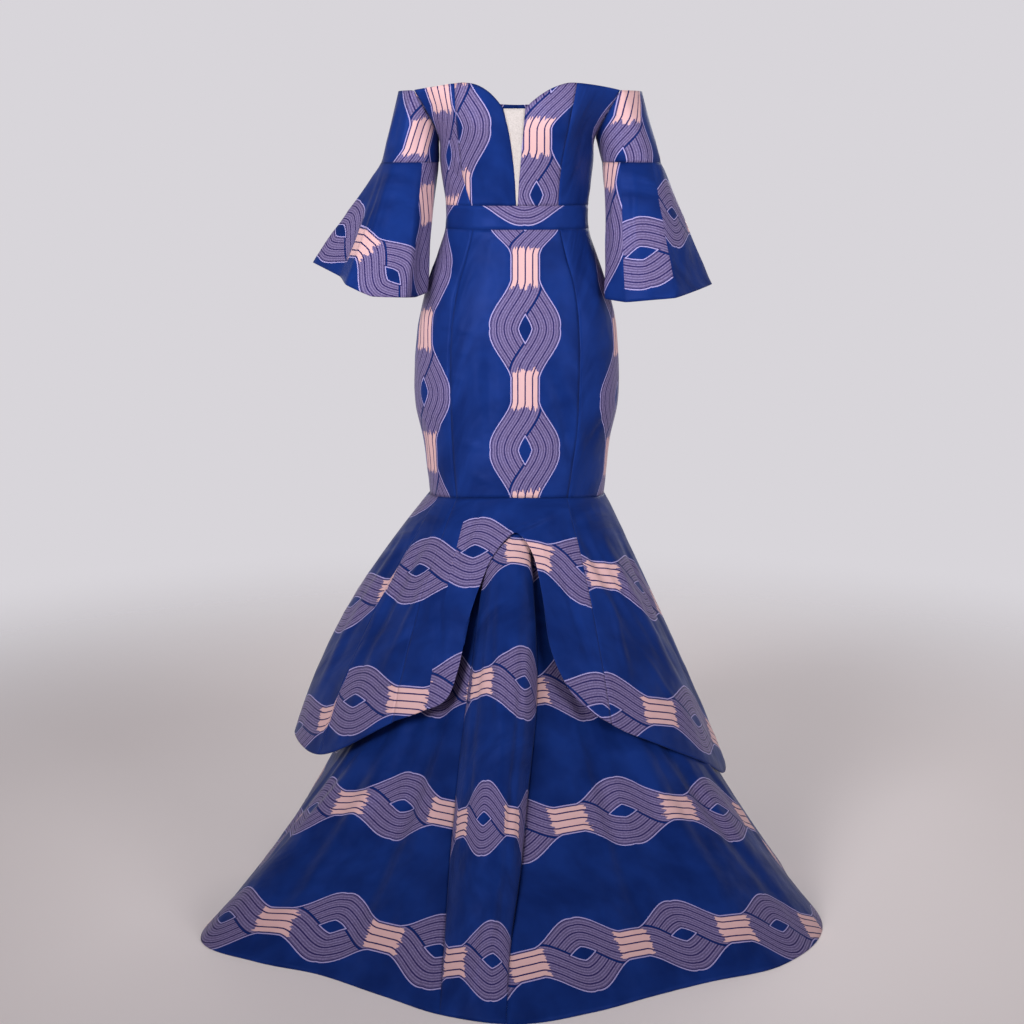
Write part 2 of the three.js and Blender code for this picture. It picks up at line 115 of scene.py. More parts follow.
LOWER_HEM = table(
    "angle radius sag",
    (-180, 436, -0.5), (-158, 452, -0.5), (-138, 424, -0.5), (-118, 440, -0.5), (-98, 430, -0.5),
    (-80, 460, -0.75), (-66, 520, -0.85), (-54, 612, -0.85), (-43, 590, -0.78), (-32, 563, -0.65),
    (-20, 582, -0.5), (-10, 618, -0.55), (0, 636, -0.6), (10, 610, -0.65), (20, 583, -0.7),
    (30, 578, -0.72), (42, 600, -0.75), (57, 579, -0.72), (74, 486, -0.6), (92, 452, -0.5),
    (112, 428, -0.5), (132, 448, -0.5), (156, 426, -0.5), (180, 436, -0.5),
)
FOLD_SEAMS = table(
    "height right left",
    (0, -10.5, -1.5), (80, -11.8, -1), (165, -13.4, 0.8), (262, -15, 3), (380, -16.5, 7),
    (480, -17.5, 8.6), (570, -18.6, 8.8), (665, -20, 9),
)
UPPER_HEM = table(
    "angle radius height spring",
    (-180, 350, 168, 0.1), (-152, 364, 172, 0.12), (-128, 354, 182, 0.2), (-106, 366, 205, 0.4),
    (-86, 384, 236, 0.5), (-64, 362, 238, 0.35), (-37, 322, 327, 0.15), (-20, 300, 377, 0),
    (-5, 296, 388, 0), (11, 288, 388, -0.06), (20, 292, 366, -0.04), (30, 312, 322, 0),
    (43, 328, 284, 0.05), (60, 352, 232, 0.1), (76, 362, 182, 0.11), (92, 360, 178, 0.1),
    (112, 350, 172, 0.1), (134, 366, 168, 0.1), (158, 348, 166, 0.1), (180, 350, 168, 0.1),
)
OPENING = table(
    "share angle height",
    (0, -38, 325), (0.11, -29, 348), (0.22, -21.5, 372), (0.3, -19.5, 420), (0.38, -18.5, 500),
    (0.47, -13, 574), (0.58, -1, 612), (0.67, 8, 582), (0.74, 11, 520), (0.81, 12, 445),
    (0.88, 17, 382), (0.94, 23, 348), (1, 29, 326),
)


# ---- curves through the tables ----
def lerp(a, b, f):
    return a + (b - a) * f


def smooth(f):
    f = np.clip(f, 0, 1)
    return f * f * (3 - 2 * f)


def curve(rows, name, at):
    """Smooth value of one column, flat beyond the ends."""
    knots, values = next(iter(rows.values())), rows[name]
    slopes = np.empty(len(knots))
    slopes[1:-1] = (values[2:] - values[:-2]) / (knots[2:] - knots[:-2])
    slopes[0] = (values[1] - values[0]) / (knots[1] - knots[0])
    slopes[-1] = (values[-1] - values[-2]) / (knots[-1] - knots[-2])
    at = np.clip(at, knots[0], knots[-1])
    i = np.clip(np.searchsorted(knots, at, side="right") - 1, 0, len(knots) - 2)
    span = knots[i + 1] - knots[i]
    f = (at - knots[i]) / span
    g = 1 - f
    ends = values[i] * g * g * (1 + 2 * f) + values[i + 1] * f * f * (1 + 2 * g)
    return ends + (slopes[i] * g - slopes[i + 1] * f) * span * f * g


def closed_rows(rows, full):
    """A closed table carried on at both ends, so that its curve joins itself."""
    key = next(iter(rows))
    carried = {}
    for name, values in rows.items():
        step = full if name == key else 0
        carried[name] = np.concatenate([values[-1:] - step, values, values[:2] + step])
    return carried


# ---- surfaces: points in millimetres from a height and an angle ----
def torso(height, angle):
    half = curve(TORSO, "half", height)
    front, back = curve(TORSO, "front", height), curve(TORSO, "back", height)
    x = half * np.sin(angle)
    y = -np.where(np.cos(angle) > 0, front, back) * np.cos(angle)
    across = (np.abs(x) - CUP["x"]) / CUP["half_width"]
    up = (height - CUP["height"]) / CUP["half_height"]
    swell = CUP["rise"] * smooth(1 - np.abs(across)) * smooth(1 - np.abs(up))
    return np.stack([x, np.where(y < 0, y - swell, y), height - WAIST_HEIGHT + 0 * x], -1)


def torso_angle(height, x):
    return np.arcsin(np.clip(x / curve(TORSO, "half", height), -1, 1))


def knee_height(angle):
    return KNEE + KNEE_RISE * np.maximum(0, np.cos(angle)) ** 2


def knee_seam(angle):
    half = curve(TORSO, "half", KNEE)
    depth = np.where(np.cos(angle) > 0, curve(TORSO, "front", KNEE), curve(TORSO, "back", KNEE))
    across, along = np.sin(angle) / half, np.cos(angle) / depth
    return 1 / np.hypot(across, along), knee_height(np.arctan2(across, along))


def on_circle(angle, radius, height):
    z = height - WAIST_HEIGHT + 0 * radius
    return np.stack([radius * np.sin(angle), -radius * np.cos(angle), z], -1)


def flare(f, bend):
    return f + bend * f * (1 - f)


def lower_tier(height, angle):
    degrees = np.degrees(angle)
    radius, seam = knee_seam(angle)
    right, left = curve(FOLD_SEAMS, "right", height), curve(FOLD_SEAMS, "left", height)
    across = (degrees - (left + right) / 2) / ((left - right) / 2)
    fullness = smooth((FOLD_STARTS["none"] - height) / (FOLD_STARTS["none"] - FOLD_STARTS["full"]))
    fold = fullness * np.maximum(0, 1 - across * across) ** 0.7
    down = 1 - height / seam
    reach = lerp(flare(down, curve(LOWER_HEM, "sag", degrees)), down, fold)
    hem = curve(LOWER_HEM, "radius", degrees)
    return on_circle(angle, lerp(radius - WALL - LAP_GAP, hem, reach), height)


def upper_tier(height, angle):
    degrees = np.degrees(angle)
    hem = curve(UPPER_HEM, "height", degrees)
    radius, seam = knee_seam(angle)
    down = (seam - height) / (seam - hem)
    bent = flare(down, curve(UPPER_HEM, "spring", degrees))
    return on_circle(angle, lerp(radius, curve(UPPER_HEM, "radius", degrees), bent), height)


def sleeve_top(around, sign, side):
    outer = np.minimum(around, 360 - around)
    underarm = np.clip((180 - outer) / (180 - OVER_ARM), 0, 1)
    height = lerp(UNDERARM, SHOULDER_LINE, underarm**1.5)
    over_arm = np.clip(1 - outer / OVER_ARM, 0, 1)
    angle = lerp(np.radians(curve(ARMHOLE, "angle", height)), math.pi / 2, over_arm)
    point = torso(height, np.where(around < 180, angle, math.pi - angle))
    reach = point[..., 0] * lerp(1, SLEEVE_RING[side]["fit"], over_arm)
    point[..., 0] = sign * (reach + ARMHOLE_GAP)
    return point


def bell_seam(around, sign, side):
    ring = SLEEVE_RING[side]
    x = ring["x"] + sign * ring["half_width"] * np.cos(np.radians(around))
    y = -ring["half_depth"] * np.sin(np.radians(around))
    return np.stack([x, y, BELL_SEAM - WAIST_HEIGHT + 0 * x], -1)


def bell_hem(around, sign, side):
    rows = closed_rows(BELL_HEM[side], 360)
    x, y, z = (
        lerp(curve(rows, name, around), np.interp(around, rows["ring"], rows[name]), 0.7)
        for name in ("x", "y", "height")
    )
    return np.stack([sign * x, y, z - WAIST_HEIGHT], -1)


# ---- the rope print, laid on each piece ----
PITCH = 195.0  # neck to neck along a rope
SPACING = 215.0  # rope to rope across the cloth
CONE = 240.0  # distance from a tier's knee seam up to the point of its cone


def arc_along(point, height, angle, grain):
    """Distance round the cloth at one height, from the grain line's angle."""
    steps = np.linspace(0, 1, 41)[:, None, None]
    path = point(height[None] + 0 * steps, grain + (angle - grain)[None] * steps)
    lengths = np.linalg.norm(np.diff(path, axis=0), axis=-1).sum(0)
    return lengths * np.sign(angle - grain)


def lay_ropes(along, across, ropes):
    """Print coordinates in metres for cloth distances, from (across, neck, pitch) of each rope.
    Ropes slide past each other halfway between, where the cloth is plain."""
    ropes = sorted(ropes)
    first, last = ropes[0], ropes[-1]
    before = [(first[0] - SPACING * k, first[1] + PITCH / 2 * k, PITCH) for k in (4, 3, 2, 1)]
    after = [(last[0] + SPACING * k, last[1] + PITCH / 2 * k, PITCH) for k in (1, 2, 3, 4)]
    ropes = before + ropes + after
    middles = np.array([rope[0] for rope in ropes])
    place = np.interp(across, middles, np.arange(len(ropes)) * SPACING)
    phase = (along - ropes[0][1]) / ropes[0][2]
    for k in range(1, len(ropes)):
        own = (along - ropes[k][1]) / ropes[k][2]
        own = own + np.round(np.mean(phase - own))
        phase = lerp(phase, own, smooth((place / SPACING - k + 0.66) / 0.32))
    return np.stack([phase * PITCH, place], -1) / 1000


def upright(*ropes, above=1400, lean=0.0, crowd=1.0):
    """Ropes that run down a fitted piece: each has its distance from centre front, the height of a
    neck, and its pitch. Above a height they may lean, or their lobes may crowd together."""

    def lay(piece):
        arc = arc_along(piece["point"], piece["height"], piece["angle"], piece["grain"])
        rise = np.maximum(0, piece["height"] - above)
        turned = [(-rope[0], -rope[1], rope[2]) for rope in ropes]
        return lay_ropes(-piece["height"] - rise * (crowd - 1), rise * lean - arc, turned)

    return lay


def level_ropes(*ropes):
    """Ropes that run round the waistband: the height of each, a neck's place, and its pitch."""

    def lay(piece):
        arc = arc_along(piece["point"], piece["height"], piece["angle"], piece["grain"])
        turned = [(-rope[0], rope[1], rope[2]) for rope in ropes]
        return lay_ropes(arc, -piece["height"], turned)

    return lay


def flared(*ropes, tucks=(), sag=(0.0, 0.0)):
    """Ropes that run straight across a flared panel cut with its grain down one line: the
    distance of each below the knee seam, a neck's place, and its pitch. A tuck hides some cloth
    in a fold at an angle. The ropes may sag towards the right or left side of the panel."""

    def lay(piece):
        arc = arc_along(piece["point"], piece["height"], piece["angle"], piece["grain"])
        for angle, hidden in tucks:
            past = (np.degrees(piece["angle"]) - angle) * np.sign(hidden)
            arc = arc + hidden * smooth(past / 1.2)
        radius = np.hypot(piece["places"][..., 0], piece["places"][..., 1])
        knee, seam = knee_seam(piece["angle"])
        reach = CONE + np.hypot(radius - knee, seam - piece["height"])
        along, across = reach * np.sin(arc / reach), reach * np.cos(arc / reach) - CONE
        drop = sag[0] * np.maximum(0, -along) + sag[1] * np.maximum(0, along)
        return lay_ropes(along, across - drop, ropes)

    return lay


def folded_over(share, first, second):
    """Print of a panel with a fold pressed into it, at a share of its width: cloth on one side of
    the fold has one run of ropes, and on the other another."""

    def lay(piece):
        grain = piece["grain"]
        before = first[0]({**piece, "grain": math.radians(first[1])})
        after = second[0]({**piece, "grain": grain})
        last = share * (piece["places"].shape[1] - 1)
        return lambda i: before if i < last else after

    return lay


# ---- creases ----
def crease_relief(places, lines):
    """Soft ridges and troughs along lines on the cloth, in millimetres: each has its points, the
    half width and the lift at its middle."""
    lift = np.zeros(places.shape[:2])
    for path, width, height in lines:
        near = np.full(lift.shape, 1e9)
        share = np.zeros(lift.shape)
        for k in range(len(path) - 1):
            start, step = path[k], path[k + 1] - path[k]
            f = np.clip(((places - start) @ step) / (step @ step), 0, 1)
            away = np.linalg.norm(places - start - f[..., None] * step, axis=-1)
            share = np.where(away < near, (k + f) / (len(path) - 1), share)
            near = np.minimum(near, away)
        profile = np.maximum(0, 1 - (near / width) ** 2) ** 2
        lift += CREASE_LIFT * height * profile * np.sin(math.pi * np.clip(share, 0.02, 0.98)) ** 0.6
    return lift


def crumple_relief(places, push):
    """Small uneven crumples all over crisp cloth, longer down than round, in millimetres."""
    rows, columns = places.shape[:2]
    lift = np.empty((rows, columns))
    for j in range(rows):
        for i in range(columns):
            x, y, z = places[j, i]
            fine = noise.noise(Vector((x / 34, y / 34, z / 80)))
            broad = noise.noise(Vector((x / 90 + 7, y / 90, z / 210)))
            lift[j, i] = 2.2 * (0.25 - abs(fine)) * (1 + broad) + 2.6 * broad
    return lift * push


def lines_on(point, rows):
    """Crease lines from rows of angle, height, angle, height, half width and lift."""
    made = []
    f = np.linspace(0, 1, 9)
    for from_angle, from_height, to_angle, to_height, width, lift in rows:
        heights = lerp(from_height, to_height, f)
        path = point(heights, np.radians(lerp(from_angle, to_angle, f)))
        made.append((path, width, lift))
    return made


def seam_relief(places, sides, puckers):
    """How a seam draws the cloth in at a piece's side edges, with small uneven puckers."""
    steps = np.linalg.norm(np.diff(places, axis=1), axis=-1)
    left = np.concatenate([np.zeros((len(places), 1)), np.cumsum(steps, axis=1)], 1)
    right = left[:, -1:] - left
    down = places[..., 2]
    wobble = 0.6 + 0.25 * np.sin(down / 5.1) + 0.25 * np.sin(down / 8.3 + 1) * np.sin(down / 31)
    lift = np.zeros(left.shape)
    for distance, used in ((left, sides[0]), (right, sides[1])):
        if used:
            lift -= SEAM_DIP * np.exp(-((distance / 3.0) ** 2))
            lift += puckers * wobble * np.exp(-(((distance - 9) / 8) ** 2))
    return lift


# ---- sewing a piece ----
def lattice(columns, rows):
    across, up = np.linspace(0, 1, columns + 1), np.linspace(0, 1, rows + 1)
    return np.meshgrid(across, up)


def normals_of(places, closed=False):
    if closed:
        wrapped = np.concatenate([places[:, -2:-1], places, places[:, 1:2]], 1)
        du = (wrapped[:, 2:] - wrapped[:, :-2]) / 2
    else:
        du = np.gradient(places, axis=1)
    normal = np.cross(du, np.gradient(places, axis=0))
    return normal / np.linalg.norm(normal, axis=-1, keepdims=True)


def edge_hold(u, v):
    """0 at a piece's edges, where a seam or hem holds the cloth flat, and 1 a little way in."""
    return smooth(np.minimum(np.minimum(u, 1 - u), np.minimum(v, 1 - v)) / 0.06)


def sew(name, places, print_of_column, material, closed=False):
    """Makes the cloth mesh: an operator's grid moved to its places in millimetres, with the print
    laid on it. print_of_column(i) gives the print coordinates for the cloth's i-th column."""
    rows, columns = places.shape[0] - 1, places.shape[1] - 1
    mesh = bpy.data.meshes.new(name)
    bm = bmesh.new()
    bmesh.ops.create_grid(bm, x_segments=columns, y_segments=rows, size=0.5)
    printed = bm.loops.layers.uv.new("cloth")
    spots = {}
    for vert in bm.verts:
        i, j = round((vert.co.x + 0.5) * columns), round((vert.co.y + 0.5) * rows)
        spots[vert.index] = (i, j)
        vert.co = Vector(places[j, i] / 1000)
    for face in bm.faces:
        face.smooth = True
        corners = [spots[loop.vert.index] for loop in face.loops]
        laid = print_of_column(min(i for i, j in corners))
        for loop, (i, j) in zip(face.loops, corners):
            loop[printed].uv = laid[j, i]
    if closed:
        bmesh.ops.remove_doubles(bm, verts=bm.verts, dist=1e-5)
    bm.to_mesh(mesh)
    bm.free()
    mesh.materials.append(material)
    piece = bpy.data.objects.new(name + "_cloth", mesh)
    bpy.context.scene.collection.objects.link(piece)
    wall = piece.modifiers.new("cloth_wall", "SOLIDIFY")
    wall.thickness = CLOTH / 1000
    wall.offset = -1
    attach(piece, "root")
    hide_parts(name)
    return piece


def count(length):
    return max(4, round(length / STITCH))


def size_of(places):
    """Longest row and column of a piece, in millimetres."""
    across = np.linalg.norm(np.diff(places, axis=1), axis=-1)
    up = np.linalg.norm(np.diff(places, axis=0), axis=-1)
    return across.sum(1).max(), up.sum(0).max()


def lay_flat(places, cut="shaped"):
    """Measures a piece as the sheet that it was cut as, along its surface before creases: its longest
    row and column. An arched piece is as wide as its ends lie apart. The measures are not kept."""
    width, length = size_of(places)
    if cut == "arched":
        width = np.linalg.norm(places[:, -1] - places[:, 0], axis=-1).max()


def panel(name, point, where, lay, creases=(), grain=0.0, seams=(1, 1), puckers=0.3, crumples=1.0,
          held="hung", rests_on=(), material=None, slot="waxed_cotton", cut="shaped"):
    """A cut piece between two seams and two edges: where(u, v) gives heights and angles."""
    u, v = lattice(40, 40)
    wide, tall = size_of(point(*where(u, v)))
    u, v = lattice(count(wide), count(tall))
    height, angle = where(u, v)
    places = point(height, angle)
    normal = normals_of(places)
    lift = crease_relief(places, creases) + seam_relief(places, seams, puckers)
    lift += crumple_relief(places, crumples) * edge_hold(u, v)
    piece = {"height": height, "angle": angle, "places": places, "grain": math.radians(grain),
             "point": point}
    laid = lay(piece)
    shaped = places + normal * lift[..., None]
    columns = laid if callable(laid) else lambda i: laid
    made = sew(name, shaped, columns, material or WAX_PRINT)
    lay_flat(places, cut)
    return made


def between(start, end, bottom, top):
    """Places between two seams, angles by height, and two edges, heights by u."""

    def where(u, v):
        height = lerp(bottom(u), top(u), v)
        return height, lerp(start(height), end(height), u)

    return where


def level(height):
    return lambda u: height + 0 * u


def turn(degrees):
    return lambda height: math.radians(degrees) + 0 * height


# ---- materials ----
def colour(code):
    """A linear colour from an sRGB hex value."""
    parts = [int(code[k : k + 2], 16) / 255 for k in (1, 3, 5)]
    linear = [c / 12.92 if c <= 0.04045 else ((c + 0.055) / 1.055) ** 2.4 for c in parts]
    return (*linear, 1.0)


def add(tree, kind, inputs=(), out=0, **settings):
    """Adds one node: its settings, and for each input a value or another node's output."""
    made = tree.nodes.new("ShaderNode" + kind)
    for name, value in settings.items():
        setattr(made, name, value)
    pairs = inputs.items() if isinstance(inputs, dict) else enumerate(inputs)
    for socket, value in pairs:
        if isinstance(value, bpy.types.NodeSocket):
            tree.links.new(value, made.inputs[socket])
        else:
            made.inputs[socket].default_value = value
    return made.outputs[out] if made.outputs else made


def new_material(name):
    material = bpy.data.materials.new(name)
    material.use_nodes = True
    material.node_tree.nodes.clear()
    return material, material.node_tree


BLUE = "#122B6B"
BLUE_DEEP = "#0C2159"
MAUVE = "#776C94"
MAUVE_WORN = "#675B7F"
PINK = "#C9A2A3"
LINE = "#2A2250"
OUTLINE = "#958CBA"
SWING = 34.0  # how far a strand swings out from the middle of its rope
STRAND = 23.8  # half width of a strand
STRAIGHT = 0.1  # share of a pitch, on each side of a neck, that runs straight


def across_strand(tree, w, off, swing):
    """Distance from a strand's middle in half widths. A strand is a little wider where it
    slants."""
    side = add(tree, "Math", [w], operation="SIGN")
    from_neck = add(tree, "Math", [w], operation="ABSOLUTE")
    share = add(tree, "MapRange", [from_neck, STRAIGHT, 0.5, 0.0, 1.0])
    reach = add(tree, "MapRange", [from_neck, STRAIGHT, 0.5, 0.0, swing * SWING / 1000],
                interpolation_type="SMOOTHSTEP")
    centre = add(tree, "Math", [reach, side], operation="MULTIPLY")
    away = add(tree, "Math", [off, centre], operation="SUBTRACT")
    rest = add(tree, "Math", [1.0, share], operation="SUBTRACT")
    slant = add(tree, "Math", [share, rest], operation="MULTIPLY")
    wide = add(tree, "Math", [slant, 0.8 * STRAND / 1000, STRAND / 1000],
               operation="MULTIPLY_ADD")
    return add(tree, "Math", [away, wide], operation="DIVIDE")


def wax_print_cotton():
    """Waxed cotton: plain-woven, resist-printed in royal blue with a two-strand rope in mauve and
    pink, then calendered, which leaves it crisp with a soft sheen."""
    material, tree = new_material("waxed_cotton_rope_print")
    cloth = add(tree, "UVMap", uv_map="cloth")
    along = add(tree, "SeparateXYZ", [cloth])
    across = along.node.outputs["Y"]

    # one pitch of rope: w is 0 at the neck and half a pitch each way at the lobes
    turns = add(tree, "Math", [along, 1000 / PITCH], operation="MULTIPLY")
    w = add(tree, "Math", [turns, 0.5, -0.5], operation="WRAP")
    off = add(tree, "Math", [across, SPACING / 2000, -SPACING / 2000], operation="WRAP")
    over = across_strand(tree, w, off, 1.0)
    under = across_strand(tree, w, off, -1.0)
    from_neck = add(tree, "Math", [w], operation="ABSOLUTE")
    over_edge = add(tree, "Math", [over], operation="ABSOLUTE")
    under_edge = add(tree, "Math", [under], operation="ABSOLUTE")
    on_top = add(tree, "Math", [over_edge, 1.0], operation="LESS_THAN")
    below = add(tree, "Math", [under_edge, 1.0], operation="LESS_THAN")
    strand = add(tree, "Math", [on_top, below], operation="MAXIMUM")
    lane = add(tree, "Mix", {0: on_top, 2: under, 3: over})
    edge = add(tree, "Math", [lane], operation="ABSOLUTE")

    # four lanes on a strand, each with finer lines along it
    in_lane = add(tree, "Math", [lane, 0.25, -0.25], operation="WRAP")
    in_lane = add(tree, "Math", [in_lane], operation="ABSOLUTE")
    lane_line = add(tree, "Math", [in_lane, 0.045], operation="LESS_THAN")
    hair = add(tree, "Math", [lane, 0.0833, -0.0833], operation="WRAP")
    hair = add(tree, "Math", [hair], operation="ABSOLUTE")
    hair = add(tree, "MapRange", [hair, 0.015, 0.06, 0.6, 0.0])
    outer = add(tree, "Math", [over_edge, under_edge], operation="MINIMUM")
    outline = add(tree, "Math", [outer, 0.925], operation="GREATER_THAN")
    border = add(tree, "Math", [outer, 0.865], operation="GREATER_THAN")
    dive = add(tree, "Math", [edge, 0.96], operation="GREATER_THAN")
    border = add(tree, "Math", [border, dive], operation="MAXIMUM")

    # pink bars across the neck, with ends as ragged as a brush leaves them
    combed = add(tree, "Mapping", {0: cloth, 3: (14.0, 260.0, 1.0)})
    ragged = add(tree, "TexNoise", {0: combed, "Scale": 1.0, "Detail": 1.5})
    end = add(tree, "Math", [ragged, 0.15, 0.085], operation="MULTIPLY_ADD")
    bar = add(tree, "Math", [from_neck, end], operation="LESS_THAN")
    inner = add(tree, "Math", [edge, 0.83], operation="LESS_THAN")
    bar = add(tree, "Math", [bar, inner], operation="MULTIPLY")
    bar = add(tree, "Math", [bar, on_top], operation="MULTIPLY")

    # the shade where one strand dives under the other
    shade = add(tree, "Math", [over_edge, 1.12], operation="LESS_THAN")
    shade = add(tree, "Math", [shade, below], operation="MULTIPLY")
    bare = add(tree, "Math", [1.0, on_top], operation="SUBTRACT")
    shade = add(tree, "Math", [shade, bare], operation="MULTIPLY")

    # wax leaves the dye a little uneven, in soft clouds about 60 mm and specks about 3 mm across
    clouds = add(tree, "TexNoise", {0: cloth, "Scale": 16.0, "Detail": 3.0})
    specks = add(tree, "TexNoise", {0: cloth, "Scale": 340.0, "Detail": 2.0})
    clouds = add(tree, "MapRange", [clouds, 0.35, 0.65, 0.0, 1.0])
    dye = add(tree, "Mix", {0: clouds, 6: colour(BLUE), 7: colour(BLUE_DEEP)}, out=2,
              data_type="RGBA")
    worn = add(tree, "MapRange", [specks, 0.4, 0.65, 0.0, 1.0])
    wash = add(tree, "Mix", {0: worn, 6: colour(MAUVE), 7: colour(MAUVE_WORN)}, out=2,
               data_type="RGBA")
    paint = add(tree, "Mix", {0: strand, 6: dye, 7: wash}, out=2, data_type="RGBA")
    hair = add(tree, "Math", [hair, strand], operation="MULTIPLY")
    paint = add(tree, "Mix", {0: hair, 6: paint, 7: colour(LINE)}, out=2, data_type="RGBA")
    paint = add(tree, "Mix", {0: bar, 6: paint, 7: colour(PINK)}, out=2, data_type="RGBA")
    lane_line = add(tree, "Math", [lane_line, border], operation="MAXIMUM")
    lane_line = add(tree, "Math", [lane_line, strand], operation="MULTIPLY")
    paint = add(tree, "Mix", {0: lane_line, 6: paint, 7: colour(LINE)}, out=2, data_type="RGBA")
    paint = add(tree, "Mix", {0: shade, 6: paint, 7: colour(BLUE_DEEP)}, out=2,
                data_type="RGBA")
    outline = add(tree, "Math", [outline, strand], operation="MULTIPLY")
    paint = add(tree, "Mix", {0: outline, 6: paint, 7: colour(OUTLINE)}, out=2, data_type="RGBA")

    # threads are 0.3 mm apart, drawn at 1.2 mm so that they show; crumples are 12 to 50 mm
    warp = add(tree, "TexWave", {0: cloth, "Scale": 265.0}, out=1, bands_direction="X")
    weft = add(tree, "TexWave", {0: cloth, "Scale": 265.0}, out=1, bands_direction="Y")
    weave = add(tree, "Math", [warp, weft], operation="MULTIPLY")
    crumple = add(tree, "TexNoise", {0: cloth, "Scale": 20.0, "Detail": 2.0, "Roughness": 0.5})
    height = add(tree, "Math", [weave, 0.008, crumple], operation="MULTIPLY_ADD")
    bump = add(tree, "Bump", {"Strength": 0.7, "Distance": 0.005, "Height": height})
    gloss = add(tree, "MapRange", [crumple, 0.3, 0.7, 0.4, 0.52])
    surface = add(tree, "BsdfPrincipled", {
        "Base Color": paint, "Roughness": gloss, "Normal": bump, "Specular IOR Level": 0.16,
        "Specular Tint": colour("#6F86E6"),
        "Sheen Weight": 0.02, "Sheen Roughness": 0.4,
    })
    add(tree, "OutputMaterial", [surface])
    return material


def off_white_power_mesh():
    """Power mesh: warp-knitted nylon in off-white, doubled, so it reads as a matte film of tiny
    holes."""
    material, tree = new_material("off_white_power_mesh")
    cloth = add(tree, "UVMap", uv_map="cloth")
    # holes are 0.6 mm apart, drawn at 1.6 mm so that they show
    holes = add(tree, "TexVoronoi", {0: cloth, "Scale": 620.0}, out=0, feature="SMOOTH_F1")
    drawn = add(tree, "MapRange", [holes, 0.0, 0.6, 0.0, 1.0])
    knit = add(tree, "Mix", {0: drawn, 6: colour("#A39B99"), 7: colour("#B6AEAC")}, out=2,
               data_type="RGBA")
    bump = add(tree, "Bump", {"Strength": 0.3, "Distance": 0.0004, "Height": holes})
    surface = add(tree, "BsdfPrincipled", {
        "Base Color": knit, "Roughness": 0.85, "Normal": bump, "Sheen Weight": 0.2,
    })
    add(tree, "OutputMaterial", [surface])
    return material


def pale_studio_floor():
    """Painted board, rolled matte: an even pale floor that fades into the studio."""
    material, tree = new_material("pale_studio_floor")
    place = add(tree, "TexCoord", out=3)
    away = add(tree, "VectorMath", [place, (0, 0, -WAIST_HEIGHT / 1000)], out=1,
               operation="DISTANCE")
    fade = add(tree, "MapRange", [away, 0.95, 2.6, 0.0, 1.0], interpolation_type="SMOOTHSTEP")
    cloudy = add(tree, "TexNoise", {0: place, "Scale": 1.5, "Detail": 2.0})
    paint = add(tree, "Mix", {0: cloudy, 6: colour("#F0E5E5"), 7: colour("#F6ECEC")}, out=2,
                data_type="RGBA")
    surface = add(tree, "BsdfPrincipled", {"Base Color": paint, "Roughness": 0.75})
    surface = add(tree, "MixShader", [fade, surface, add(tree, "BsdfTransparent")])
    add(tree, "OutputMaterial", [surface])
    return material


WAX_PRINT = wax_print_cotton()
POWER_MESH = off_white_power_mesh()


# ---- bodice ----
def princess(side):
    return lambda height: torso_angle(height, curve(PRINCESS, side, height))


def plunge(side):
    return lambda height: torso_angle(height, curve(PLUNGE, side, height))


def bodice_side(height):
    armhole = np.radians(curve(ARMHOLE, "angle", height))
    return np.where(height < UNDERARM, math.pi / 2, armhole)


def neckline(start, end):
    return lambda u: curve(NECKLINE, "height", lerp(start, end, u))


def sew_bodice():
    base = level(BAND_TOP)
    edge_right, edge_left = PLUNGE["right"][-1], PLUNGE["left"][-1]
    seam_right, seam_left = PRINCESS["right"][-1], PRINCESS["left"][-1]
    arm = NECKLINE["x"][-1]
    hold = {"held": "stretched", "rests_on": ["waistband_front"]}
    bust = lines_on(torso, [
        (-58, 1215, -38, 1180, 9, 1.4), (-62, 1190, -45, 1165, 8, -1.2),
        (52, 1205, 40, 1168, 9, 1.2), (70, 1250, 50, 1262, 8, -1.2),
        (-75, 1252, -55, 1258, 8, -1.2), (66, 1235, 45, 1225, 9, 1.0),
        (-30, 1160, -8, 1142, 8, 0.9), (34, 1150, 12, 1138, 8, 0.8),
    ])
    panel("bodice_front_side_right", torso,
          between(lambda h: -bodice_side(h), princess("right"), base, neckline(-arm, seam_right)),
          upright((-130, 1307, PITCH)), bust, **hold)
    panel("bodice_front_centre_right", torso,
          between(princess("right"), plunge("right"), base, neckline(seam_right, edge_right)),
          upright((-100, 1154, PITCH)), bust, **hold)
    panel("plunge_mesh", torso,
          between(plunge("right"), plunge("left"), base, level(PLUNGE_TOP)),
          upright((0, 1200, PITCH)), material=POWER_MESH, slot="power_mesh", puckers=0, **hold)
    panel("bodice_front_centre_left", torso,
          between(plunge("left"), princess("left"), base, neckline(edge_left, seam_left)),
          upright((31, 1237, 180), above=1250, lean=0.4), bust, **hold)
    panel("bodice_front_side_left", torso,
          between(princess("left"), bodice_side, base, neckline(seam_left, arm)),
          upright((215, 1160, PITCH)), bust, **hold)
    back = lines_on(torso, [
        (118, 1220, 140, 1190, 9, 1.2), (-122, 1215, -143, 1183, 9, 1.2),
        (150, 1160, 172, 1150, 8, -1.0), (-152, 1165, -172, 1152, 8, -1.0),
        (125, 1255, 150, 1262, 9, -1.0), (-124, 1258, -148, 1262, 9, -1.0),
    ])
    hold = {"held": "stretched", "rests_on": ["waistband_back_left", "waistband_back_right"]}

    def back_edge(u):
        return lerp(SHOULDER_LINE, NECK_BACK, smooth(u))

    panel("bodice_back_left", torso,
          between(lambda h: math.pi - bodice_side(h), turn(180), base, back_edge),
          upright((-60, 1230, PITCH)), back, grain=180, **hold)
    panel("bodice_back_right", torso,
          between(turn(-180), lambda h: bodice_side(h) - math.pi, base,
                  lambda u: back_edge(1 - u)),
          upright((70, 1230, PITCH)), back, grain=-180, **hold)


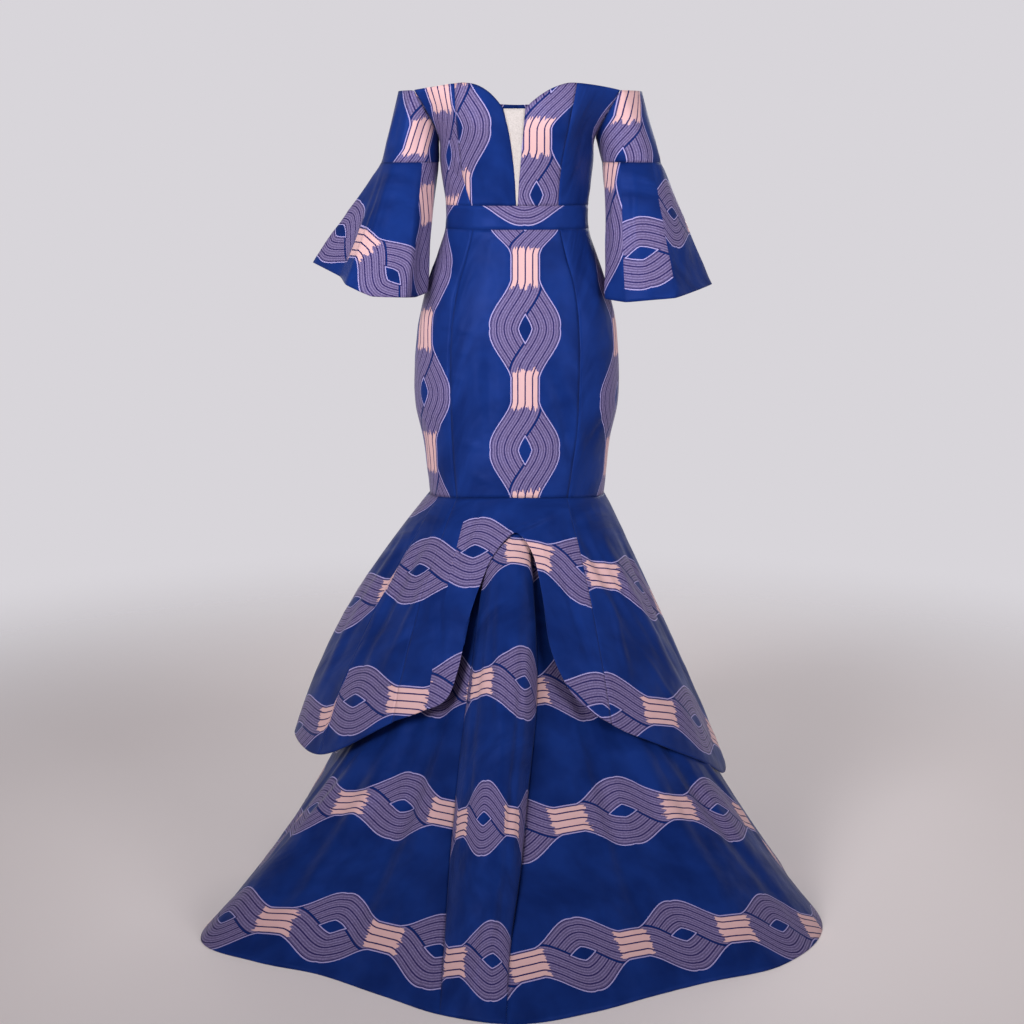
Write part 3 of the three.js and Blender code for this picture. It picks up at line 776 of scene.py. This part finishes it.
def sew_waistband():
    edges = (level(BAND_BOTTOM), level(BAND_TOP))
    hold = {"held": "stretched", "puckers": 0.3}
    panel("waistband_front", torso, between(turn(-90), turn(90), *edges),
          level_ropes((1157, 109, PITCH)), rests_on=["sheath_front_centre"],
          cut="rectangle", **hold)
    panel("waistband_back_left", torso, between(turn(90), turn(180), *edges),
          level_ropes((1161, 40, PITCH)), grain=180, rests_on=["sheath_back_left"],
          cut="rectangle", **hold)
    panel("waistband_back_right", torso, between(turn(-180), turn(-90), *edges),
          level_ropes((1161, -40, PITCH)), grain=-180, rests_on=["sheath_back_right"],
          cut="rectangle", **hold)


def sew_sheath():
    def part(start, end):
        def knee(u):
            first, last = start(np.array(float(KNEE))), end(np.array(float(KNEE)))
            return knee_height(lerp(first, last, u))

        return between(start, end, knee, level(BAND_BOTTOM))

    front = lines_on(torso, [
        (-16, 915, -15, 775, 13, -2.4), (-24, 900, -22, 800, 14, 1.3),
        (17, 880, 37, 700, 12, -2.2), (26, 870, 44, 720, 12, 1.2),
        (-42, 940, -22, 926, 6, 1.4), (-44, 905, -26, 893, 6, 1.1), (-46, 862, -30, 850, 6, 1.2),
        (-38, 752, -22, 742, 7, 1.2), (24, 838, 36, 818, 6, 1.2), (40, 900, 56, 884, 7, 1.0),
        (-70, 800, -50, 760, 10, -1.6), (62, 790, 46, 735, 10, -1.6),
        (-62, 980, -48, 930, 10, 1.2), (60, 985, 48, 940, 10, 1.0),
        (-8, 720, 12, 694, 8, 1.2), (8, 760, 24, 736, 7, 1.0), (-30, 700, -12, 684, 7, 1.0),
    ])
    back = lines_on(torso, [
        (150, 1070, 176, 1052, 8, 1.5), (-150, 1066, -176, 1048, 8, 1.5),
        (140, 1040, 172, 1018, 9, 1.3), (-142, 1034, -170, 1014, 9, 1.3),
        (120, 820, 150, 780, 10, -1.5), (-118, 815, -150, 770, 10, -1.5),
        (165, 850, 168, 720, 13, -2.0), (-160, 840, -166, 700, 13, -2.0),
        (130, 730, 165, 700, 8, 1.2), (-128, 745, -160, 705, 8, 1.2),
    ])
    hold = {"held": "stretched", "puckers": 0.15}
    panel("sheath_front_side_right", torso, part(turn(-90), princess("right")),
          upright((-172, 928, 202)), front, rests_on=["waistband_front"], **hold)
    panel("sheath_front_centre", torso, part(princess("right"), princess("left")),
          upright((13, 838, PITCH), above=1062, crowd=1.6), front, rests_on=["waistband_front"], **hold)
    panel("sheath_front_side_left", torso, part(princess("left"), turn(90)),
          upright((205, 917, 202)), front, rests_on=["waistband_front"], **hold)
    panel("sheath_back_left", torso, part(turn(90), turn(180)),
          upright((-105, 870, PITCH)), back, grain=180, rests_on=["waistband_back_left"], **hold)
    panel("sheath_back_right", torso, part(turn(-180), turn(-90)),
          upright((105, 870, PITCH)), back, grain=-180, rests_on=["waistband_back_right"], **hold)


# ---- tiers ----
def sew_upper_tier():
    def knee_angle(side):
        height = np.array(float(KNEE))
        x, y = torso(height, torso_angle(height, curve(PRINCESS, side, height)))[:2]
        return math.atan2(x, -y)

    def flared_part(top_start, top_end, edge_angle, edge_height):
        def where(u, v):
            top = lerp(top_start, top_end, u)
            height = lerp(edge_height(u), knee_seam(top)[1], v)
            return height, lerp(edge_angle(u), top, v)

        return where

    def plain(top_start, top_end, hem_start, hem_end):
        def angle(u):
            return lerp(hem_start, hem_end, u)

        return flared_part(top_start, top_end, angle,
                           lambda u: curve(UPPER_HEM, "height", np.degrees(angle(u))))

    front = lines_on(upper_tier, [
        (25, 640, -12, 606, 8, 1.8), (20, 628, -6, 600, 7, -1.4), (-26, 655, -30, 560, 10, -1.6),
        (38, 640, 50, 430, 16, -3.0), (52, 600, 66, 330, 20, 3.5), (72, 600, 82, 300, 20, -3.5),
        (-56, 600, -60, 380, 18, -3.5), (-72, 600, -76, 320, 20, 3.0), (-42, 560, -47, 400, 14, 2.0),
        (-60, 330, -30, 395, 12, 2.0), (44, 520, 40, 370, 12, 1.8), (22, 560, 27, 400, 10, -1.6),
        (-34, 520, -26, 420, 10, -1.5), (60, 300, 50, 420, 10, 1.5),
    ])
    back = lines_on(upper_tier, [
        (105, 620, 112, 260, 20, -4.0), (122, 600, 128, 220, 22, 3.5), (145, 620, 150, 230, 20, -4.0),
        (165, 600, 168, 240, 20, 3.0), (-104, 620, -112, 260, 20, -4.0),
        (-125, 600, -130, 220, 22, 3.5), (-146, 620, -150, 230, 20, -4.0),
        (-164, 600, -170, 240, 20, 3.0),
    ])
    side = math.pi / 2
    right, left = knee_angle("right"), knee_angle("left")
    first, last = math.radians(OPENING["angle"][0]), math.radians(OPENING["angle"][-1])
    opening = flared_part(right, left, lambda u: np.radians(curve(OPENING, "angle", u)),
                          lambda u: curve(OPENING, "height", u))
    right_side = flared((123, -187, 212), (346, -36, 235), tucks=((-64, -70),))
    centre = flared((90, 64, PITCH), (318, -121, 219))
    panel("upper_tier_front_centre", upper_tier, opening,
          folded_over(0.13, (right_side, -28), (centre, -12)), front, grain=-12,
          rests_on=["sheath_front_centre"], cut="arched")
    panel("upper_tier_front_right", upper_tier, plain(-side, right, -side, first),
          right_side, front, grain=-28, rests_on=["sheath_front_side_right"])
    panel("upper_tier_front_left", upper_tier, plain(left, side, last, side),
          flared((125, 84, PITCH), (353, 156, 220)), front, grain=20,
          rests_on=["sheath_front_side_left"])
    panel("upper_tier_back_left", upper_tier, plain(side, math.pi, side, math.pi),
          flared((110, 0, PITCH), (325, 60, PITCH)), back, grain=135,
          rests_on=["sheath_back_left"])
    panel("upper_tier_back_right", upper_tier, plain(-math.pi, -side, -math.pi, -side),
          flared((110, 30, PITCH), (325, -40, PITCH)), back, grain=-135,
          rests_on=["sheath_back_right"])


def sew_lower_tier():
    def right(height):
        return np.radians(curve(FOLD_SEAMS, "right", height))

    def left(height):
        return np.radians(curve(FOLD_SEAMS, "left", height))

    def part(start, end):
        def knee(u):
            first, last = start(np.array(float(KNEE))), end(np.array(float(KNEE)))
            return knee_seam(lerp(first, last, u))[1]

        return between(start, end, level(0), knee)

    front = lines_on(lower_tier, [
        (-24, 420, -30, 30, 26, -5.0), (-38, 380, -43, 30, 30, 5.0), (-52, 330, -60, 40, 26, -5.0),
        (24, 420, 22, 40, 24, -4.5), (36, 400, 40, 60, 28, 4.5), (48, 360, 52, 40, 24, -4.5),
        (-7, 560, -3, 300, 14, 3.0), (-13, 520, -10, 200, 12, -2.5), (2, 480, -3, 120, 10, -2.5),
        (-3, 180, -6, 20, 16, 4.0), (62, 300, 66, 60, 20, 4.0),
        (-68, 300, -74, 60, 20, 4.0),
    ])
    back = lines_on(lower_tier, [
        (108, 420, 112, 40, 26, -5.0), (128, 420, 132, 40, 28, 5.0), (150, 420, 156, 40, 26, -5.0),
        (172, 400, 172, 40, 20, 4.0), (-108, 420, -112, 40, 26, -5.0),
        (-128, 420, -134, 40, 28, 5.0), (-150, 420, -156, 40, 26, -5.0),
        (-170, 400, -172, 40, 20, 4.0),
    ])
    hold = {"held": "hung"}
    panel("lower_tier_front_right", lower_tier, part(turn(-90), right),
          flared((90, 0, PITCH), (308, 101, 170), (508, -80, 190), (711, -113, 196), sag=(0.12, 0)), front,
          grain=-32, rests_on=["sheath_front_side_right"], **hold)
    panel("lower_tier_front_centre", lower_tier, part(right, left),
          flared((90, 20, 160), (312, -45, 170), (534, 30, 100), (744, 66, 124)), front,
          grain=-4, rests_on=["sheath_front_centre"], **hold)
    panel("lower_tier_front_left", lower_tier, part(left, turn(90)),
          flared((90, 0, PITCH), (308, -100, 170), (515, -100, 194), (717, -68, 174), sag=(0, 0.07)), front,
          grain=27, rests_on=["sheath_front_side_left"], **hold)
    panel("lower_tier_back_left", lower_tier, part(turn(90), turn(180)),
          flared((90, 0, PITCH), (308, 60, PITCH), (515, -20, PITCH), (717, 40, PITCH)), back,
          grain=135, rests_on=["sheath_back_left"], **hold)
    panel("lower_tier_back_right", lower_tier, part(turn(-180), turn(-90)),
          flared((90, 20, PITCH), (308, -60, PITCH), (515, 30, PITCH), (717, -40, PITCH)), back,
          grain=-135, rests_on=["sheath_back_right"], **hold)


# ---- sleeves ----
def facing_way(places, spot):
    """Direction round a tube at one place."""
    row, column = spot
    column = min(max(column, 1), places.shape[1] - 2)
    way = places[row, column + 1] - places[row, column - 1]
    return way / np.linalg.norm(way)


def tube(name, side, lower, upper, faces, creases):
    """A sleeve or bell: a tube between two loops. Each face of the print runs from one ring angle
    to the next, and has the ring angle and height of a mark on its rope, how far its ropes are
    turned, how far the mark is from a neck, and the pitch."""
    sign = 1 if side == "left" else -1

    def around(u):
        return ((1 - u if sign > 0 else u) * 360 + 720) % 360

    def point(u, v):
        ring = around(u)
        return lerp(lower(ring, sign, side), upper(ring, sign, side), v[..., None])

    u, v = lattice(72, 20)
    wide, tall = size_of(point(u, v))
    u, v = lattice(count(wide), count(tall))
    places = point(u, v)
    ring = around(u)
    ring[:, -1] = ring[:, -2]
    lift = crease_relief(places, [
        (point(np.array([from_u, to_u]), np.array([from_v, to_v])), width, height)
        for from_u, from_v, to_u, to_v, width, height in creases
    ])
    normal = normals_of(places, closed=True)
    lift += crumple_relief(places, 0.8) * edge_hold(0.5, v)
    lift[:, -1] = lift[:, 0]
    shaped = places + normal * lift[..., None]
    laid = []
    if callable(faces):
        laid, faces = [(0, 360, faces(places))], []
    for start, end, neck_ring, neck_height, turned, ahead, pitch in faces:
        near = np.abs((ring - neck_ring + 180) % 360 - 180) * 2 + np.abs(
            places[..., 2] + WAIST_HEIGHT - neck_height
        )
        spot = np.unravel_index(near.argmin(), near.shape)
        facing = normal[spot]
        level_way = facing_way(places, spot)
        x = (places - places[spot]) @ level_way
        y = (places - places[spot]) @ np.cross(level_way, facing)
        c, s = math.cos(math.radians(turned)), math.sin(math.radians(turned))
        laid.append((start, end, lay_ropes(x * c + y * s, y * c - x * s, [(0, ahead, pitch)])))

    def print_of(i):
        at = ring[0, min(i + 1, ring.shape[1] - 1)]
        for start, end, print_here in laid:
            if (at - start) % 360 < (end - start) % 360 or end - start == 360:
                return print_here
        return laid[-1][2]

    piece = sew(name, shaped, print_of, WAX_PRINT, closed=True)
    lay_flat(places)


def cylinder_print(side, rope, neck, lean):
    """Print of an upper sleeve, with its ropes straight down the arm: the angle of a rope round
    the arm, the height of a neck, and how far the rope leans."""
    ring = SLEEVE_RING[side]
    sign = 1 if side == "left" else -1

    def lay(places):
        turned = np.arctan2(-places[..., 1], (places[..., 0] - ring["x"]) * sign)
        across = ring["half_depth"] * (turned - math.radians(rope)) * sign
        across = across + lean * (places[..., 2] + WAIST_HEIGHT - neck)
        return lay_ropes(-(places[..., 2] + WAIST_HEIGHT), across, [(0, -neck, 180)])

    return lay


def sew_sleeves():
    folds = {
        "right": [(0.27, 0.1, 0.29, 0.95, 9, -2.0), (0.08, 0.1, 0.1, 0.9, 9, 2.0)],
        "left": [(0.2, 0.1, 0.22, 0.95, 9, -2.0), (0.4, 0.1, 0.42, 0.9, 9, 2.0)],
    }
    gathers = {
        "right": [(0.1, 0.1, 0.11, 0.98, 12, -2.5), (0.16, 0.3, 0.17, 0.98, 12, 2.5),
                  (0.6, 0.1, 0.6, 0.98, 14, -2.5), (0.8, 0.1, 0.8, 0.98, 14, 2.5)],
        "left": [(0.6, 0.1, 0.61, 0.98, 12, -2.5), (0.74, 0.3, 0.75, 0.98, 12, 2.5),
                 (0.3, 0.1, 0.3, 0.98, 14, -2.5), (0.15, 0.1, 0.15, 0.98, 14, 2.5)],
    }
    sleeve_faces = {
        "right": cylinder_print("right", 112, 1238, 0.32),
        "left": cylinder_print("left", 92, 1290, 0.22),
    }
    bell_faces = {
        "right": [(118, 215, 140, 1130, 90, 0, PITCH), (30, 118, 92, 1018, 50, 77, 155),
                  (215, 335, 270, 1090, 20, 0, PITCH), (335, 390, 6, 1087, 15, 85, 170)],
        "left": [(114, 215, 145, 1190, 90, 0, 240), (50, 114, 88, 1057, -12, 112, 224),
                 (215, 335, 270, 1080, 20, 0, PITCH), (335, 410, 30, 1119, 20, 62, 124)],
    }
    for side in ("right", "left"):
        tube(f"sleeve_{side}", side, bell_seam, sleeve_top, sleeve_faces[side], folds[side])
        tube(f"bell_{side}", side, bell_hem, bell_seam, bell_faces[side], gathers[side])


sew_bodice()
sew_waistband()
sew_sheath()
sew_upper_tier()
sew_lower_tier()
sew_sleeves()


# ---- floor, light and camera ----
CAMERA_PLACE = (-0.0083, -3.0, 0.089)
CAMERA_DIP = 11.03  # degrees below level
CAMERA_LENS = 63.28


def studio():
    floor_mesh = bpy.data.meshes.new("studio_floor")
    bm = bmesh.new()
    bmesh.ops.create_grid(bm, x_segments=4, y_segments=4, size=4)
    bmesh.ops.translate(bm, verts=bm.verts, vec=(0, 0, -WAIST_HEIGHT / 1000 - 0.001))
    bm.to_mesh(floor_mesh)
    bm.free()
    floor_mesh.materials.append(pale_studio_floor())
    floor = bpy.data.objects.new("studio_floor", floor_mesh)
    bpy.context.scene.collection.objects.link(floor)

    # the studio is palest behind the dress, and its ceiling is dark
    world = bpy.data.worlds.new("studio_air")
    world.use_nodes = True
    air = world.node_tree
    air.nodes.clear()
    facing = add(air, "SeparateXYZ", [add(air, "TexCoord")]).node.outputs
    strength = add(air, "MapRange", [facing["Y"], -0.5, 0.7, 0.55, 1.0])
    overhead = add(air, "MapRange", [facing["Z"], 0.25, 0.7, 1.0, 0.12])
    strength = add(air, "Math", [strength, overhead], operation="MULTIPLY")
    seen = add(air, "Background", [colour("#D8D5DA"), strength])
    add(air, "OutputWorld", [seen])
    bpy.context.scene.world = world

    for name, place, aim, size, spread, power in (
        ("key_softbox", (-1.6, -2.6, 0.6), (0, 0, 0.3), 1.1, 75, 21),
        ("fill_softbox", (2.2, -2.4, 0.4), (0, 0, 0.2), 1.5, 80, 13),
        ("top_softbox", (0.2, -0.8, 2.4), (0, 0, -0.2), 1.6, 120, 6),
        ("rear_softbox", (0.6, 2.8, 1.0), (0, 0, 0.1), 2.0, 140, 20),
    ):
        light = bpy.data.lights.new(name, "AREA")
        light.shape = "SQUARE"
        light.size = size
        light.energy = power
        light.spread = math.radians(spread)
        lamp = bpy.data.objects.new(name, light)
        lamp.location = place
        lamp.rotation_euler = (Vector(aim) - Vector(place)).to_track_quat("-Z", "Y").to_euler()
        bpy.context.scene.collection.objects.link(lamp)

    lens = bpy.data.cameras.new("studio_camera")
    lens.lens = CAMERA_LENS
    lens.sensor_width = 36
    camera = bpy.data.objects.new("studio_camera", lens)
    camera.location = CAMERA_PLACE
    camera.rotation_euler = (math.radians(90 - CAMERA_DIP), 0, 0)
    bpy.context.scene.collection.objects.link(camera)
    bpy.context.scene.camera = camera
    bpy.context.scene.view_settings.view_transform = "Standard"


studio()
